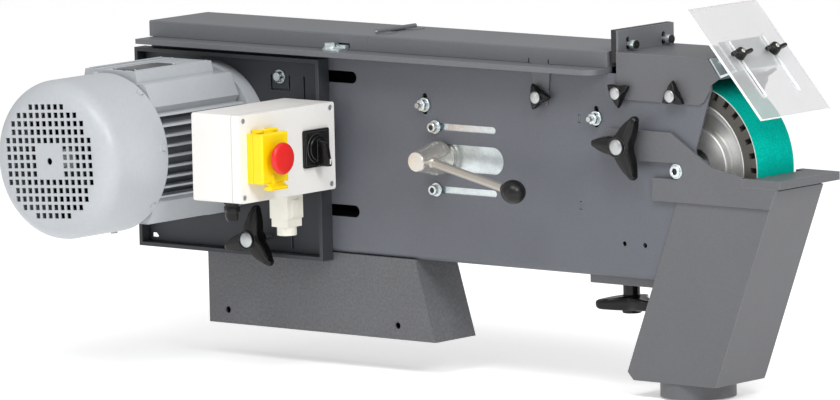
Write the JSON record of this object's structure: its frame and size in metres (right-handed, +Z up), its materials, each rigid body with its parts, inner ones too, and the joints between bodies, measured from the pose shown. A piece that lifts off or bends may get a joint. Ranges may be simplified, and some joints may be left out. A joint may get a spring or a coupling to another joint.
{
  "type": "belt grinder",
  "caption": "Bench belt grinder with slotted sheet housing, long hinged top cover, contact wheel with table and spark chute, clear shield, side motor and switch box.",
  "frame": {"origin": "centre of the pedestal's flat base, where the machine is bolted to a stand", "axes": "+X along the belt towards the contact wheel, +Y away from the operator, +Z up"},
  "size_m": [1.0747, 0.442, 0.505],
  "materials": {
    "housing_paint": "fine textured powder coat",
    "cover_paint": "fine textured powder coat",
    "chute_paint": "fine textured powder coat",
    "pedestal_paint": "coarse textured powder coat",
    "motor_paint": "satin paint",
    "zinc": "zinc plated",
    "steel": "ground",
    "dark_steel": "black oxide",
    "chrome": "polished",
    "aluminium": "machined",
    "rubber": "matte",
    "belt_cloth": "coated abrasive",
    "black_plastic": "satin moulded",
    "white_plastic": "moulded",
    "yellow_plastic": "moulded",
    "red_plastic": "moulded",
    "green_plastic": "moulded",
    "cream_plastic": "moulded",
    "clear_sheet": "clear polycarbonate",
    "copper_windings": "varnished windings"
  },
  "bodies": {
    "frame": {"pedestal": "pedestal_paint", "housing_front": "housing_paint", "housing_back": "housing_paint", "bulkhead": "housing_paint", "top_frame": "cover_paint", "fixed_cover": "cover_paint", "hinge_pin": "zinc", "cover_clamp": "zinc", "hood": "chute_paint", "hood_upstand": "cover_paint", "shield_bracket": "zinc", "abrasive_belt": "belt_cloth", "wheel_axle": "steel", "guide_bolt": "dark_steel", "tension_spring": "steel"},
    "lid": {"hinged_lid": "cover_paint"},
    "lid_clamp": {"lid_knob": "black_plastic"},
    "hood_clamp_left": {"hood_knob_left": "black_plastic"},
    "hood_clamp_right": {"hood_knob_right": "black_plastic"},
    "gap_adjuster": {"gap_plate": "dark_steel"},
    "spark_shield": {"shield": "clear_sheet"},
    "shield_clamp_near": {"wing_knob_near": "black_plastic"},
    "shield_clamp_far": {"wing_knob_far": "black_plastic"},
    "platen_support": {"platen": "steel"},
    "work_rest": {"rest_arm": "chute_paint", "table": "chute_paint", "chute": "chute_paint", "outlet": "chute_paint", "tongue": "chute_paint"},
    "arm_clamp": {"arm_knob": "black_plastic"},
    "chute_clamp": {"chute_knob": "black_plastic"},
    "contact_wheel": {"wheel_hub": "aluminium", "wheel_tyre": "rubber", "wheel_bearings": "steel"},
    "carriage": {"motor_tray": "cover_paint", "slide_plate": "zinc", "guide_screws": "dark_steel", "switch_box": "white_plastic", "switch_lid": "white_plastic", "lid_screws": "zinc", "cable_gland": "black_plastic", "power_inlet": "cream_plastic", "contactor": "black_plastic", "stop_base": "yellow_plastic", "selector_plate": "black_plastic"},
    "clamp_lever": {"lever_hub": "chrome", "lever_ball": "black_plastic"},
    "motor_unit": {"motor_plate": "cover_paint", "motor_body": "motor_paint", "end_shields": "motor_paint", "stator": "copper_windings", "fan_cover": "motor_paint"},
    "tracking_screw": {"tracking_knob": "black_plastic"},
    "rotor": {"motor_rotor": "steel", "cooling_fan": "black_plastic", "drive_pulley": "aluminium"},
    "start_switch": {"start_button": "green_plastic"},
    "stop_cover": {"stop_flap": "yellow_plastic"},
    "stop_actuator": {"stop_mushroom": "red_plastic"},
    "selector": {"selector_knob": "black_plastic"}
  },
  "joints": [
    {"name": "belt_tension_slide", "type": "slide", "parent": "frame", "child": "carriage", "axis": [1, 0, 0], "range_m": [0, 0.06], "deforming": ["abrasive_belt", "tension_spring"]},
    {"name": "clamp_lever_turn", "type": "hinge", "parent": "carriage", "child": "clamp_lever", "pos_m": [0.2166, -0.0412, 0.2455], "axis": [0, -1, 0], "range_deg": [0, 85]},
    {"name": "tracking_tilt", "type": "hinge", "parent": "carriage", "child": "motor_unit", "pos_m": [-0.1758, -0.0457, 0.356], "axis": [-1, 0, 0], "range_deg": [0, 1.5], "deforming": ["abrasive_belt"]},
    {"name": "tracking_knob_turn", "type": "hinge", "parent": "motor_unit", "child": "tracking_screw", "pos_m": [-0.0818, -0.0412, 0.123], "axis": [0, 1, 0], "continuous": true},
    {"name": "rotor_spin", "type": "hinge", "parent": "motor_unit", "child": "rotor", "pos_m": [-0.1816, -0.0412, 0.2505], "axis": [0, 1, 0], "continuous": true},
    {"name": "contact_wheel_spin", "type": "hinge", "parent": "frame", "child": "contact_wheel", "pos_m": [0.6194, -0.0412, 0.2569], "axis": [0, 1, 0], "continuous": true},
    {"name": "lid_hinge", "type": "hinge", "parent": "frame", "child": "lid", "pos_m": [0.0937, -0.0412, 0.4023], "axis": [0, -1, 0], "range_deg": [0, 170]},
    {"name": "lid_knob_turn", "type": "hinge", "parent": "frame", "child": "lid_clamp", "pos_m": [0.3862, -0.0412, 0.335], "axis": [0, 1, 0], "continuous": true},
    {"name": "hood_knob_left_turn", "type": "hinge", "parent": "frame", "child": "hood_clamp_left", "pos_m": [0.5182, -0.0412, 0.3477], "axis": [0, 1, 0], "continuous": true},
    {"name": "hood_knob_right_turn", "type": "hinge", "parent": "frame", "child": "hood_clamp_right", "pos_m": [0.6072, -0.0412, 0.349], "axis": [0, 1, 0], "continuous": true},
    {"name": "gap_plate_slide", "type": "slide", "parent": "frame", "child": "gap_adjuster", "axis": [0, 0, 1], "range_m": [-0.0024, 0.006]},
    {"name": "shield_slide", "type": "slide", "parent": "frame", "child": "spark_shield", "axis": [0.6603, 0, -0.751], "range_m": [-0.06, 0.02]},
    {"name": "wing_knob_near_turn", "type": "hinge", "parent": "frame", "child": "shield_clamp_near", "pos_m": [0.69536, -0.0251, 0.40267], "axis": [0.751, 0, 0.6603], "continuous": true},
    {"name": "wing_knob_far_turn", "type": "hinge", "parent": "frame", "child": "shield_clamp_far", "pos_m": [0.69536, 0.0451, 0.40267], "axis": [0.751, 0, 0.6603], "continuous": true},
    {"name": "platen_slide", "type": "slide", "parent": "frame", "child": "platen_support", "axis": [0, 0, 1], "range_m": [-0.008, 0]},
    {"name": "work_rest_slide", "type": "slide", "parent": "frame", "child": "work_rest", "axis": [1, 0, 0], "range_m": [0, 0.035]},
    {"name": "arm_knob_turn", "type": "hinge", "parent": "frame", "child": "arm_clamp", "pos_m": [0.5312, -0.0412, 0.281], "axis": [0, 1, 0], "continuous": true},
    {"name": "chute_knob_turn", "type": "hinge", "parent": "frame", "child": "chute_clamp", "pos_m": [0.4852, 0.0108, 0.08], "axis": [0, 0, 1], "continuous": true},
    {"name": "start_press", "type": "slide", "parent": "carriage", "child": "start_switch", "axis": [-1, 0, 0], "range_m": [0, 0.0025], "stiffness_N_per_m": 800},
    {"name": "stop_cover_hinge", "type": "hinge", "parent": "carriage", "child": "stop_cover", "pos_m": [0.0637, -0.2112, 0.2897], "axis": [0, -1, 0], "range_deg": [0, 100]},
    {"name": "stop_press", "type": "slide", "parent": "stop_cover", "child": "stop_actuator", "axis": [-1, 0, 0], "range_m": [0, 0.0035], "stiffness_N_per_m": 1500},
    {"name": "selector_turn", "type": "hinge", "parent": "carriage", "child": "selector", "pos_m": [0.0522, -0.1032, 0.2545], "axis": [1, 0, 0], "range_deg": [-60, 60]}
  ],
  "couplings": [
    {"joint": "contact_wheel_spin", "follows": "rotor_spin", "ratio": 0.95267}
  ]
}
